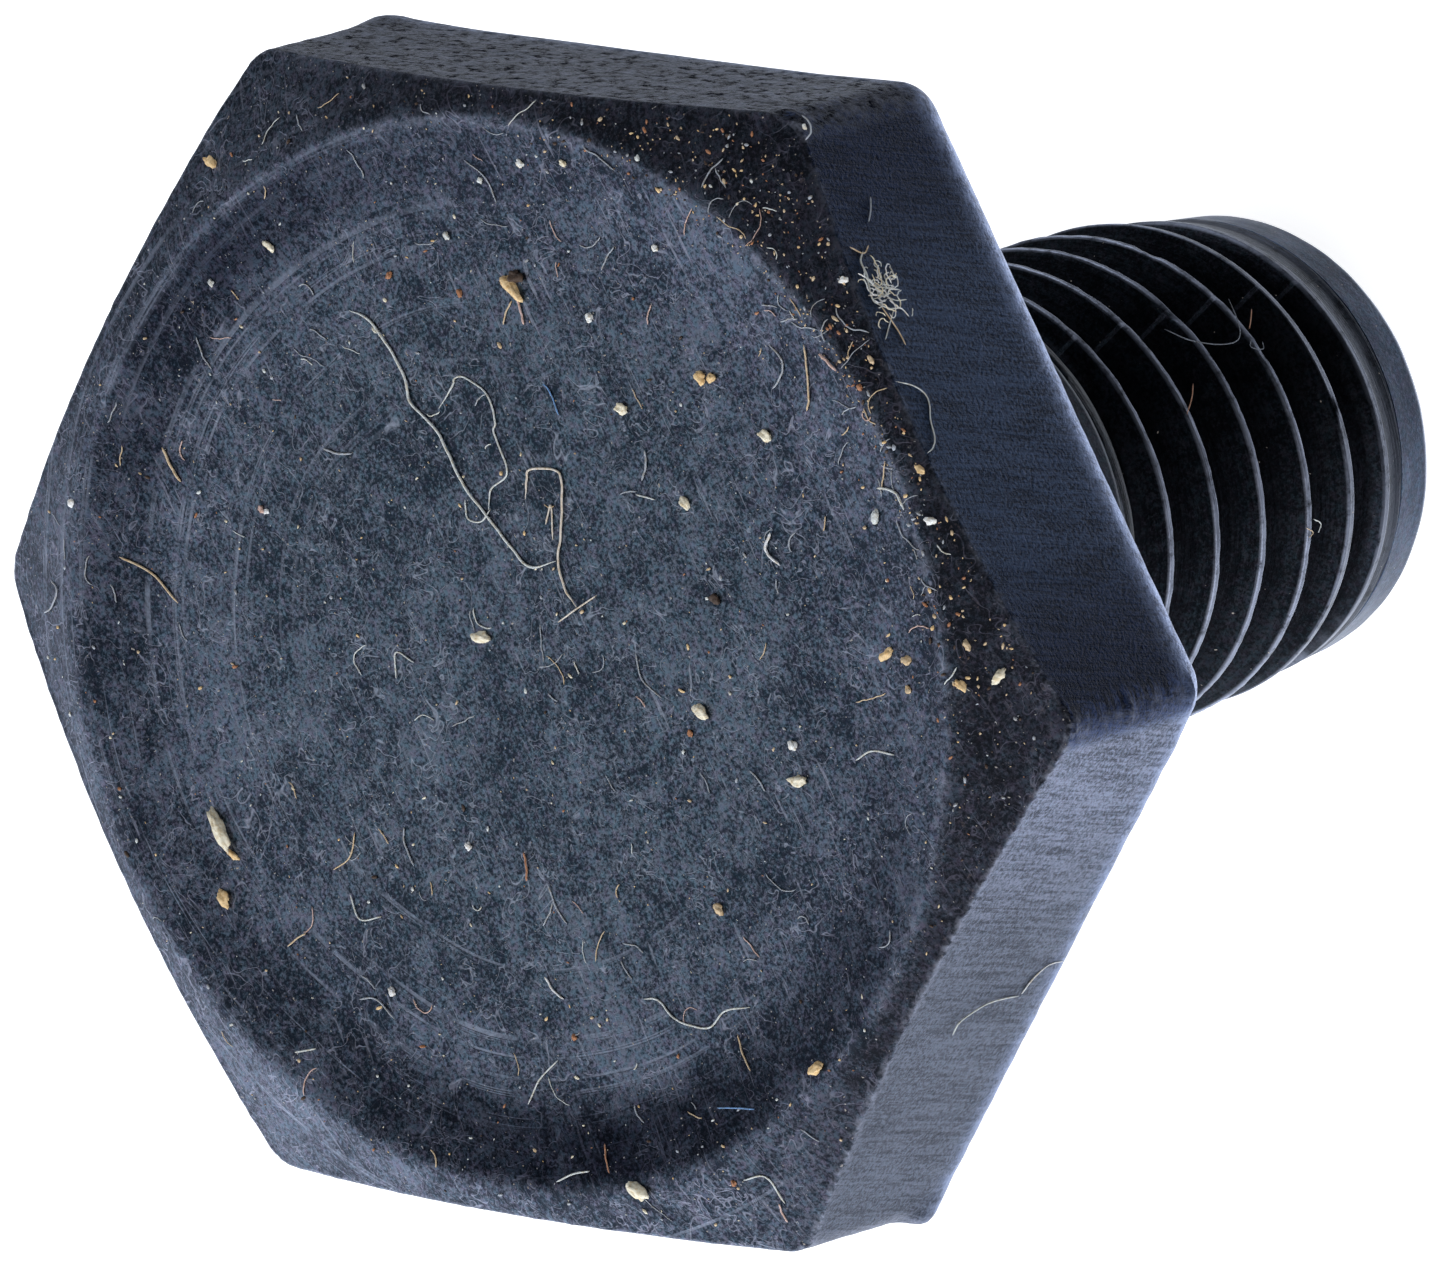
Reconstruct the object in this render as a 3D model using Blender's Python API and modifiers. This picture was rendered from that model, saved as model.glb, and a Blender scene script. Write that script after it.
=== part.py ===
"""A hex bolt standing on its point: hexagon head, plain neck, right-hand thread and chamfered point.

The bolt's axis is Z and the head is at the top. The end of the point lies on z = 0.
"""

import math

import bmesh
import bpy
from mathutils import Matrix

MM = 0.001

# Lengths along the axis
SHANK_LENGTH = 16.0 * MM
HEAD_HEIGHT = 4.55 * MM
THREAD_TOP = 9.8 * MM
POINT_HEIGHT = 1.85 * MM

# Head
ACROSS_FLATS = 17.5 * MM
FACE_RADIUS = 8.31 * MM
CHAMFER_ANGLE = math.radians(24.0)
CORNER_ROUNDING = 0.32 * MM
UNDERSIDE_ROUNDING = 0.8 * MM
FILLET_RADIUS = 0.4 * MM

# Shank and thread
SHANK_RADIUS = 4.0 * MM
PITCH = 1.25 * MM
CREST_RADIUS = 3.98 * MM
ROOT_RADIUS = 3.233 * MM
FLANK_ANGLE = math.radians(30.0)
CREST_WIDTH = PITCH / 8
RIDGE_TURNS = 9
RIDGE_START = math.radians(-65.0)
RUN_OUT = 1.1 * MM

# Point
POINT_TOP_RADIUS = 3.70 * MM
CHAMFER_TOP = 1.05 * MM
CHAMFER_TOP_RADIUS = 3.60 * MM
POINT_END_RADIUS = 2.6 * MM
TAPER_START = 4.2 * MM

# Facets
HEAD_STEPS = 96
SHANK_STEPS = 64
ROUNDING_SEGMENTS = 6
SHARP_ANGLE = math.radians(20.0)
MERGE_DISTANCE = 1e-7
OVERSHOOT = 1.0 * MM

BEARING_Z = SHANK_LENGTH
TOP_Z = SHANK_LENGTH + HEAD_HEIGHT
COLLAR_Z = BEARING_Z - FILLET_RADIUS

STEEL_COLORS = {
    "hex_head": (0.055, 0.062, 0.085),
    "plain_neck": (0.042, 0.048, 0.066),
    "threaded_shank": (0.020, 0.022, 0.030),
    "chamfered_point": (0.050, 0.060, 0.085),
}
ROUGHNESS = 0.42
METALLIC = 0.9


def new_collection(name):
    collection = bpy.data.collections.new(name)
    bpy.context.scene.collection.children.link(collection)
    return collection


def new_object(name, mesh, collection):
    obj = bpy.data.objects.new(name, mesh)
    collection.objects.link(obj)
    return obj


def mesh_from(bm, name):
    mesh = bpy.data.meshes.new(name)
    bm.to_mesh(mesh)
    bm.free()
    return mesh


def black_oxide(name):
    """The blackened steel of one region of the bolt."""
    material = bpy.data.materials.new(name)
    material.use_nodes = True
    shader = material.node_tree.nodes["Principled BSDF"]
    shader.inputs["Base Color"].default_value = (*STEEL_COLORS[name], 1.0)
    shader.inputs["Roughness"].default_value = ROUGHNESS
    shader.inputs["Metallic"].default_value = METALLIC
    return material


def turned(name, profile, collection, steps):
    """A solid of revolution. The profile lists (radius, z) from the axis at the top, down the outside."""
    bm = bmesh.new()
    verts = [bm.verts.new((radius, 0.0, z)) for radius, z in profile]
    for upper, lower in zip(verts, verts[1:]):
        bm.edges.new((upper, lower))
    obj = new_object(name, mesh_from(bm, name), collection)
    screw = obj.modifiers.new("Turn", "SCREW")
    screw.steps = steps
    screw.render_steps = steps
    screw.use_merge_vertices = True
    screw.merge_threshold = MERGE_DISTANCE
    return obj


def make_guide(obj):
    """Mark an object as a construction shape that is not part of the bolt."""
    obj.hide_render = True
    obj.display_type = "WIRE"


def combine(obj, other, operation):
    boolean = obj.modifiers.new(f"{operation.title()} {other.name}", "BOOLEAN")
    boolean.object = other
    boolean.operation = operation
    boolean.solver = "EXACT"


def settle(obj):
    """Turn an object's modifiers into its own mesh."""
    graph = bpy.context.evaluated_depsgraph_get()
    mesh = bpy.data.meshes.new_from_object(obj.evaluated_get(graph))
    obj.modifiers.clear()
    obj.data = mesh


def finish(obj):
    """Settle a piece, shade it smooth between its sharp edges and give it its steel."""
    settle(obj)
    obj.data.shade_smooth()
    obj.data.set_sharp_from_angle(angle=SHARP_ANGLE)
    obj.data.materials.clear()
    obj.data.materials.append(black_oxide(obj.name))


def is_corner_edge(edge):
    """True on the upright edges of the hexagon and on their run round the underside."""
    first, second = (vert.co for vert in edge.verts)
    on_spoke = abs(first.x * second.y - first.y * second.x) < 1e-12
    return on_spoke and (first - second).length > 1e-9


def hexagon_prism():
    """The hexagon before its chamfer, with its underside and its six corners rounded."""
    bottom = BEARING_Z
    top = TOP_Z + OVERSHOOT
    bm = bmesh.new()
    bmesh.ops.create_cone(
        bm,
        cap_ends=True,
        segments=6,
        radius1=ACROSS_FLATS / math.sqrt(3),
        radius2=ACROSS_FLATS / math.sqrt(3),
        depth=top - bottom,
    )
    bmesh.ops.rotate(bm, verts=bm.verts, matrix=Matrix.Rotation(math.radians(30.0), 3, "Z"))
    bmesh.ops.translate(bm, verts=bm.verts, vec=(0.0, 0.0, (top + bottom) / 2))
    underside = [e for e in bm.edges if all(abs(v.co.z - bottom) < MERGE_DISTANCE for v in e.verts)]
    bmesh.ops.bevel(
        bm,
        geom=underside,
        offset=UNDERSIDE_ROUNDING,
        segments=ROUNDING_SEGMENTS,
        profile=0.5,
        affect="EDGES",
    )
    bmesh.ops.bevel(
        bm,
        geom=[e for e in bm.edges if is_corner_edge(e)],
        offset=CORNER_ROUNDING,
        segments=ROUNDING_SEGMENTS,
        profile=0.5,
        affect="EDGES",
    )
    return mesh_from(bm, "hex_head")


def chamfer_drop(radius):
    """How far below the top face the chamfer cone lies at a radius."""
    return (radius - FACE_RADIUS) * math.tan(CHAMFER_ANGLE)


def arc(centre_radius, centre_z, radius, start, end, segments):
    """Profile points along a quarter-round, from one angle to another."""
    points = []
    for step in range(segments + 1):
        angle = start + (end - start) * step / segments
        points.append((centre_radius + radius * math.cos(angle), centre_z + radius * math.sin(angle)))
    return points


def build_head(parts, guides):
    """The hexagon under a turned chamfer, with the fillet that runs into the neck."""
    head = new_object("hex_head", hexagon_prism(), parts)
    wide = ACROSS_FLATS
    low = BEARING_Z - OVERSHOOT
    crown_profile = [
        (0.0, TOP_Z),
        (FACE_RADIUS, TOP_Z),
        (wide, TOP_Z - chamfer_drop(wide)),
        (wide, low),
        (0.0, low),
    ]
    crown = turned("crown_envelope", crown_profile, guides, HEAD_STEPS)
    fillet_radius_out = SHANK_RADIUS + FILLET_RADIUS
    collar_profile = [
        (0.0, BEARING_Z + OVERSHOOT),
        (fillet_radius_out, BEARING_Z + OVERSHOOT),
        *arc(fillet_radius_out, COLLAR_Z, FILLET_RADIUS, math.radians(90), math.radians(180), ROUNDING_SEGMENTS),
        (0.0, COLLAR_Z),
    ]
    collar = turned("fillet_collar", collar_profile, guides, SHANK_STEPS)
    combine(head, crown, "INTERSECT")
    combine(head, collar, "UNION")
    for guide in (crown, collar):
        make_guide(guide)
    finish(head)


def build_neck(parts):
    """The unthreaded stretch of the shank between the fillet and the thread."""
    profile = [
        (0.0, COLLAR_Z),
        (SHANK_RADIUS, COLLAR_Z),
        (SHANK_RADIUS, THREAD_TOP),
        (0.0, THREAD_TOP),
    ]
    finish(turned("plain_neck", profile, parts, SHANK_STEPS))


def thread_ridge(guides):
    """The helical ridge, a four-sided profile swept up the axis, with its ends closed."""
    buried_radius = ROOT_RADIUS - 0.1 * MM
    half_crest = CREST_WIDTH / 2
    half_base = half_crest + (CREST_RADIUS - buried_radius) * math.tan(FLANK_ANGLE)
    outline = [
        (buried_radius, half_base),
        (CREST_RADIUS, half_crest),
        (CREST_RADIUS, -half_crest),
        (buried_radius, -half_base),
    ]
    bm = bmesh.new()
    verts = [bm.verts.new((radius, 0.0, z)) for radius, z in outline]
    for index, vert in enumerate(verts):
        bm.edges.new((vert, verts[(index + 1) % len(verts)]))
    ridge = new_object("thread_ridge", mesh_from(bm, "thread_ridge"), guides)
    ridge.rotation_euler.z = RIDGE_START
    screw = ridge.modifiers.new("Helix", "SCREW")
    screw.steps = SHANK_STEPS
    screw.render_steps = SHANK_STEPS
    screw.screw_offset = PITCH
    screw.iterations = RIDGE_TURNS
    settle(ridge)
    close_ends(ridge.data)
    return ridge


def close_ends(mesh):
    bm = bmesh.new()
    bm.from_mesh(mesh)
    bmesh.ops.remove_doubles(bm, verts=bm.verts, dist=MERGE_DISTANCE)
    bmesh.ops.holes_fill(bm, edges=[e for e in bm.edges if e.is_boundary])
    bmesh.ops.recalc_face_normals(bm, faces=bm.faces)
    bm.to_mesh(mesh)
    bm.free()


def build_thread(parts, guides):
    """The root cylinder and its ridge, run out into the neck and tapered towards the point."""
    above = THREAD_TOP + OVERSHOOT
    below = POINT_HEIGHT - OVERSHOOT
    buried = SHANK_RADIUS + 0.1 * MM
    core_profile = [
        (0.0, above),
        (buried, above),
        (buried, THREAD_TOP - 0.1 * MM),
        (ROOT_RADIUS, THREAD_TOP - RUN_OUT),
        (ROOT_RADIUS, POINT_HEIGHT + RUN_OUT),
        (POINT_TOP_RADIUS + 0.1 * MM, POINT_HEIGHT + 0.1 * MM),
        (POINT_TOP_RADIUS + 0.1 * MM, below),
        (0.0, below),
    ]
    envelope_profile = [
        (0.0, THREAD_TOP),
        (SHANK_RADIUS, THREAD_TOP),
        (SHANK_RADIUS, TAPER_START),
        (POINT_TOP_RADIUS, POINT_HEIGHT),
        (0.0, POINT_HEIGHT),
    ]
    thread = turned("threaded_shank", core_profile, parts, SHANK_STEPS)
    ridge = thread_ridge(guides)
    envelope = turned("thread_envelope", envelope_profile, guides, SHANK_STEPS)
    combine(thread, ridge, "UNION")
    combine(thread, envelope, "INTERSECT")
    for guide in (ridge, envelope):
        make_guide(guide)
    finish(thread)


def build_point(parts):
    """The short smooth taper below the thread and the chamfer at the end of the bolt."""
    profile = [
        (0.0, POINT_HEIGHT),
        (POINT_TOP_RADIUS, POINT_HEIGHT),
        (CHAMFER_TOP_RADIUS, CHAMFER_TOP),
        (POINT_END_RADIUS, 0.0),
        (0.0, 0.0),
    ]
    finish(turned("chamfered_point", profile, parts, SHANK_STEPS))


def main():
    for obj in list(bpy.data.objects):
        bpy.data.objects.remove(obj, do_unlink=True)
    parts = new_collection("hex_bolt")
    guides = new_collection("guides")
    build_head(parts, guides)
    build_neck(parts)
    build_thread(parts, guides)
    build_point(parts)


main()
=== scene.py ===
import math
import random

import bmesh
import bpy
import numpy as np
from mathutils import Matrix, Vector, noise


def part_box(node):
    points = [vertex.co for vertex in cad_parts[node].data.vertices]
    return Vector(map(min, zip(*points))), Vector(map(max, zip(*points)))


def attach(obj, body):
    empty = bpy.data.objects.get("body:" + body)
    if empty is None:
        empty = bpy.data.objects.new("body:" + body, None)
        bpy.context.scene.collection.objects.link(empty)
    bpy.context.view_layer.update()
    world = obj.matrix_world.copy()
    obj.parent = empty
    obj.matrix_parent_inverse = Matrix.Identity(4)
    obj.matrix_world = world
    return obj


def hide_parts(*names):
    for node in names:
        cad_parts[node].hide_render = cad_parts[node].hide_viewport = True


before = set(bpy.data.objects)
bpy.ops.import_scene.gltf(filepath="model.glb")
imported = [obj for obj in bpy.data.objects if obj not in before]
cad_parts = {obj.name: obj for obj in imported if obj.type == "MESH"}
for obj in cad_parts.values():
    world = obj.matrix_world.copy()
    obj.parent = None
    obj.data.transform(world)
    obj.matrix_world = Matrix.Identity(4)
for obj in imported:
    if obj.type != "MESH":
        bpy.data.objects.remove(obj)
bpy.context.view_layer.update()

# All the shape work is in millimetres in the row frame: the bolt's axis is Z, its head is at the top, and
# the end of its point is at zero. MM turns it into metres.
MM = 0.001

# Places that the CAD frame gives
HEAD_LOW, HEAD_HIGH = (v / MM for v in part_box("hex_head"))
TOP_Z = HEAD_HIGH.z
COLLAR_Z = HEAD_LOW.z
APOTHEM = HEAD_HIGH.y
CORNER_REACH = HEAD_HIGH.x
SHANK_RADIUS = (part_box("plain_neck")[1] / MM).x
THREAD_TOP = (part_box("threaded_shank")[1] / MM).z
POINT_TOP = (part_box("chamfered_point")[1] / MM).z

# Head
FILLET = 0.4
BEARING_Z = COLLAR_Z + FILLET
FACE_RADIUS = 8.31
CHAMFER_SLOPE = math.tan(math.radians(24.0))
COS_30 = math.cos(math.pi / 6)
CORNER_RADIUS = (APOTHEM / COS_30 - CORNER_REACH) / (1 / COS_30 - 1)
UNDERSIDE_ROUNDING = 0.8
EDGE_ROUNDING = 0.09
DISH_SLOPE = 0.17
DISH_START = (6.55, 7.15)
RIM_SOFTNESS = 0.030

# Thread
PITCH = 1.25
CREST_RADIUS = 3.98
ROOT_RADIUS = 3.233
HALF_CREST = 0.036
THREAD_START = math.radians(-65.0)
RUN_OUT = 1.1
POINT_RUN_OUT = 0.42
TAPER_START = 4.2
FLANK_SLOPE = math.tan(math.pi / 6)

# Point: its radius where the thread ends, then (radius, height) pairs that steer its two soft corners
POINT_RADIUS = 3.70
SHOULDER = ((3.64, 1.12), (3.635, 1.02), (3.54, 0.93))
END_EDGE = ((2.68, 0.084), (2.60, 0.0), (2.50, 0.0))


# ---------------------------------------------------------------- meshes


def smoothstep(value, low, high):
    """Zero at low and one at high, with a soft start and end."""
    t = np.clip((value - low) / (high - low), 0.0, 1.0)
    return t * t * (3.0 - 2.0 * t)


def bell(value, middle, width):
    """One at the middle, falling off smoothly on both sides."""
    return np.exp(-(((value - middle) / width) ** 2))


def wobble(points, scale, octaves=3, offset=0.0):
    """Smooth random numbers around zero at each point, the same on every run."""
    flat = points.reshape(-1, 3) * scale + offset
    values = [noise.fractal(Vector(p), 0.8, 2.0, octaves, noise_basis="PERLIN_ORIGINAL") for p in flat]
    return np.array(values).reshape(points.shape[:-1])


def shown_mesh(name, points, faces, attributes):
    """A smooth mesh object from points in millimetres, with its point attributes."""
    mesh = bpy.data.meshes.new(name)
    mesh.from_pydata([tuple(p) for p in np.asarray(points) * MM], [], [tuple(f) for f in faces])
    mesh.polygons.foreach_set("use_smooth", [True] * len(mesh.polygons))
    for key, values in attributes.items():
        values = np.asarray(values, np.float32)
        kind, field = ("FLOAT", "value") if values.ndim == 1 else ("FLOAT_VECTOR", "vector")
        mesh.attributes.new(key, kind, "POINT").data.foreach_set(field, values.ravel())
    mesh.validate()
    obj = bpy.data.objects.new(name, mesh)
    bpy.context.scene.collection.objects.link(obj)
    return obj


def closed_grid(rows, columns):
    """Faces of a tube of rows x columns points, closed by one point at each end."""
    faces = []
    first = rows * columns
    for j in range(columns):
        k = (j + 1) % columns
        faces.append((first, j, k))
        for i in range(rows - 1):
            faces.append((i * columns + j, (i + 1) * columns + j, (i + 1) * columns + k, i * columns + k))
        faces.append((first + 1, (rows - 1) * columns + k, (rows - 1) * columns + j))
    return faces


def lathe(name, points, attributes):
    """An object from rows x columns points that run from the top of the axis to its bottom."""
    rows, columns = points.shape[:2]
    ends = [points[0].mean(axis=0), points[-1].mean(axis=0)]
    flat = np.vstack([points.reshape(-1, 3), ends])
    full = {}
    for key, values in attributes.items():
        values = np.asarray(values, float)
        tail = np.stack([values[0].mean(axis=0), values[-1].mean(axis=0)])
        full[key] = np.concatenate([values.reshape(rows * columns, *values.shape[2:]), tail])
    return shown_mesh(name, flat, closed_grid(rows, columns), full)


# ---------------------------------------------------------------- head

# Columns along each side of the hexagon, by the azimuth that the side faces
SIDE_STEPS = {30: 60, 90: 60, 150: 70, 210: 170, 270: 110, 330: 90}
CORNER_STEPS = 11


def hexagon_columns():
    """Round the rounded hexagon: point, outward direction, side, and place along the side."""
    half_side = (APOTHEM - CORNER_RADIUS) * math.tan(math.pi / 6)
    points, normals, sides, places = [], [], [], []
    for side, steps in SIDE_STEPS.items():
        a = math.radians(side)
        out = np.array([math.cos(a), math.sin(a)])
        along = np.array([-math.sin(a), math.cos(a)])
        for t in np.linspace(-half_side, half_side, steps):
            points.append(out * APOTHEM + along * t)
            normals.append(out)
            sides.append(side)
            places.append(t)
        corner = math.radians(side + 30)
        centre = np.array([math.cos(corner), math.sin(corner)]) * (APOTHEM - CORNER_RADIUS) / COS_30
        for b in np.linspace(a, a + math.pi / 3, CORNER_STEPS + 2)[1:-1]:
            out = np.array([math.cos(b), math.sin(b)])
            points.append(centre + out * CORNER_RADIUS)
            normals.append(out)
            sides.append(side if b < corner else side + 60)
            before = half_side + CORNER_RADIUS * (b - a)
            after = -half_side - CORNER_RADIUS * (a + math.pi / 3 - b)
            places.append(before if b < corner else after)
    return np.array(points), np.array(normals), np.array(sides) % 360, np.array(places)


DISH_RADII = np.linspace(0.0, FACE_RADIUS + 0.6, 900)
DISH_RISE = np.cumsum(DISH_SLOPE * smoothstep(DISH_RADII, *DISH_START)) * (DISH_RADII[1] - DISH_RADII[0])
DISH_RISE -= np.interp(FACE_RADIUS, DISH_RADII, DISH_RISE)


# The softened rim is a little lower than the sharp one, which stands this far above the CAD's top
RIM_EXTRA = 0.008


def crown_height(radius):
    """Height of the head's top by distance from the axis: a face that rises to a rim, then the chamfer."""
    radius = np.asarray(radius, float)
    face = TOP_Z + RIM_EXTRA + np.interp(radius, DISH_RADII, DISH_RISE)
    cone = TOP_Z + RIM_EXTRA - (radius - FACE_RADIUS) * CHAMFER_SLOPE
    return -RIM_SOFTNESS * np.logaddexp(-face / RIM_SOFTNESS, -cone / RIM_SOFTNESS)


FACE_ROWS = 46
CHAMFER_ROWS = 15
EDGE_ROWS = 6
WALL_ROWS = 30
UNDERSIDE_ROWS = 12
BEARING_ROWS = 9
FILLET_ROWS = 7
FACE_ROW, CHAMFER_ROW, EDGE_ROW, WALL_ROW, UNDERSIDE_ROW, BEARING_ROW, FILLET_ROW, INNER_ROW = range(8)

# Where the chamfer meets a side it turns down through this angle, in an arc that is stretched sideways to fit
EDGE_TURN = math.radians(66.0)
EDGE_STRETCH = 1.68
EDGE_DROP = 0.914


def head_profile(reach):
    """Distance from the axis, height and kind of each row of one column, whose side lies at this reach."""
    crown_end = 1 - 0.015 ** 1.5
    rows = [(FACE_RADIUS * (1 - (1 - q) ** 1.5), None, FACE_ROW) for q in np.linspace(0.02, 0.985, FACE_ROWS)]
    stop = reach - EDGE_ROUNDING
    chamfer = np.linspace(FACE_RADIUS * crown_end + 0.02, stop, CHAMFER_ROWS)
    rows += [(r, None, CHAMFER_ROW) for r in chamfer]
    low = float(crown_height(stop))
    for q in np.linspace(0.0, 1.0, EDGE_ROWS + 1)[1:]:
        a = EDGE_TURN * (1 - q)
        inset = EDGE_ROUNDING * (1 - math.cos(a)) * EDGE_STRETCH
        rows.append((reach - inset, low - EDGE_ROUNDING * (EDGE_DROP - math.sin(a)), EDGE_ROW))
    wall_top = rows[-1][1]
    wall_low = BEARING_Z + UNDERSIDE_ROUNDING
    rows += [(reach, z, WALL_ROW) for z in np.linspace(wall_top, wall_low, WALL_ROWS + 1)[1:]]
    for a in np.linspace(0.0, math.pi / 2, UNDERSIDE_ROWS + 1)[1:]:
        r = reach * (1 - UNDERSIDE_ROUNDING * (1 - math.cos(a)) / APOTHEM)
        rows.append((r, wall_low - UNDERSIDE_ROUNDING * math.sin(a), UNDERSIDE_ROW))
    inner = reach * (1 - UNDERSIDE_ROUNDING / APOTHEM)
    out = SHANK_RADIUS + FILLET
    rows += [(r, BEARING_Z, BEARING_ROW) for r in np.linspace(inner, out, BEARING_ROWS + 1)[1:]]
    for a in np.linspace(0.0, math.pi / 2, FILLET_ROWS + 1)[1:]:
        rows.append((out - FILLET * math.sin(a), COLLAR_Z + FILLET * math.cos(a), FILLET_ROW))
    rows += [(SHANK_RADIUS * q, COLLAR_Z, INNER_ROW) for q in (0.66, 0.33)]
    return rows


# Burrs and nicks on the head's edges: azimuth, height, azimuth width, height width, outward and upward shift
HEAD_MARKS = [
    (0.0, 16.95, 1.6, 0.45, 0.08, -0.02),
    (-180.0, 16.85, 1.2, 0.35, 0.16, -0.03),
    (-59.0, 19.75, 1.0, 0.10, -0.08, 0.00),
    (-120.6, 19.60, 1.6, 0.18, 0.05, 0.10),
    (-62.5, 20.05, 1.4, 0.12, -0.05, 0.02),
]

# Dents in the face: x, y, radius, depth
FACE_DENTS = [
    (3.35, -4.35, 0.16, 0.020), (3.15, -4.45, 0.14, 0.018), (-0.75, -4.05, 0.14, 0.015),
    (4.6, 0.15, 0.15, 0.014), (-7.0, 0.6, 0.25, 0.015), (5.0, 3.4, 0.25, 0.012), (1.6, 4.8, 0.35, 0.012),
    (-3.1, 0.2, 0.22, 0.010), (6.5, 0.9, 0.2, 0.016), (-5.2, -3.3, 0.22, 0.012),
]


# Painted shade that darkens the hollow ring inside the rim, more on some sides: azimuth, amount
RIM_PAINTED_SHADE = [
    (-180, 0.85), (-165, 0.45), (-150, 0.55), (-135, 0.30), (-120, 0.0), (-60, 0.0), (-45, 0.15),
    (-30, 0.40), (-15, 0.55), (0, 0.72), (15, 0.90), (30, 0.65), (45, 0.60), (60, 0.25), (90, 0.0),
    (120, 0.05), (135, 0.45), (150, 0.90), (165, 1.0), (180, 0.85),
]


# How far the sides stand out from a true hexagon at their front and at the bearing face: azimuth, amount
SWELL_FRONT = [
    (-180, 0.0), (-2, 0.0), (6, 0.07), (20, 0.09), (45, 0.09), (60, 0.05), (75, 0.02), (100, 0.0), (180, 0.0),
]
SWELL_BACK = [
    (-180, 0.09), (-125, 0.09), (-117, 0.02), (-60, 0.0), (-50, -0.05), (-10, -0.02), (0, 0.05), (30, 0.06),
    (60, 0.03), (90, 0.0), (170, 0.03), (180, 0.09),
]

# Azimuth of the corner that the trimming die combed
COMBED_CORNER = -120.0


def around(azimuth, table):
    """The value of an (azimuth, amount) table for each column."""
    return np.interp(azimuth, *zip(*table))[None, :]


def side_grain(points, side, place):
    """A place for the die marks: across them, along them, and one number for each side."""
    grain = np.zeros(points.shape)
    height = points[..., 2]
    lengthwise = np.isin(side, (30, 150, 330))
    grain[..., 0] = np.where(lengthwise, height, place - 0.25 * (height - BEARING_Z))
    grain[..., 1] = np.where(lengthwise, place, height)
    grain[..., 2] = side[None, :] * 0.37
    return grain


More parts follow.
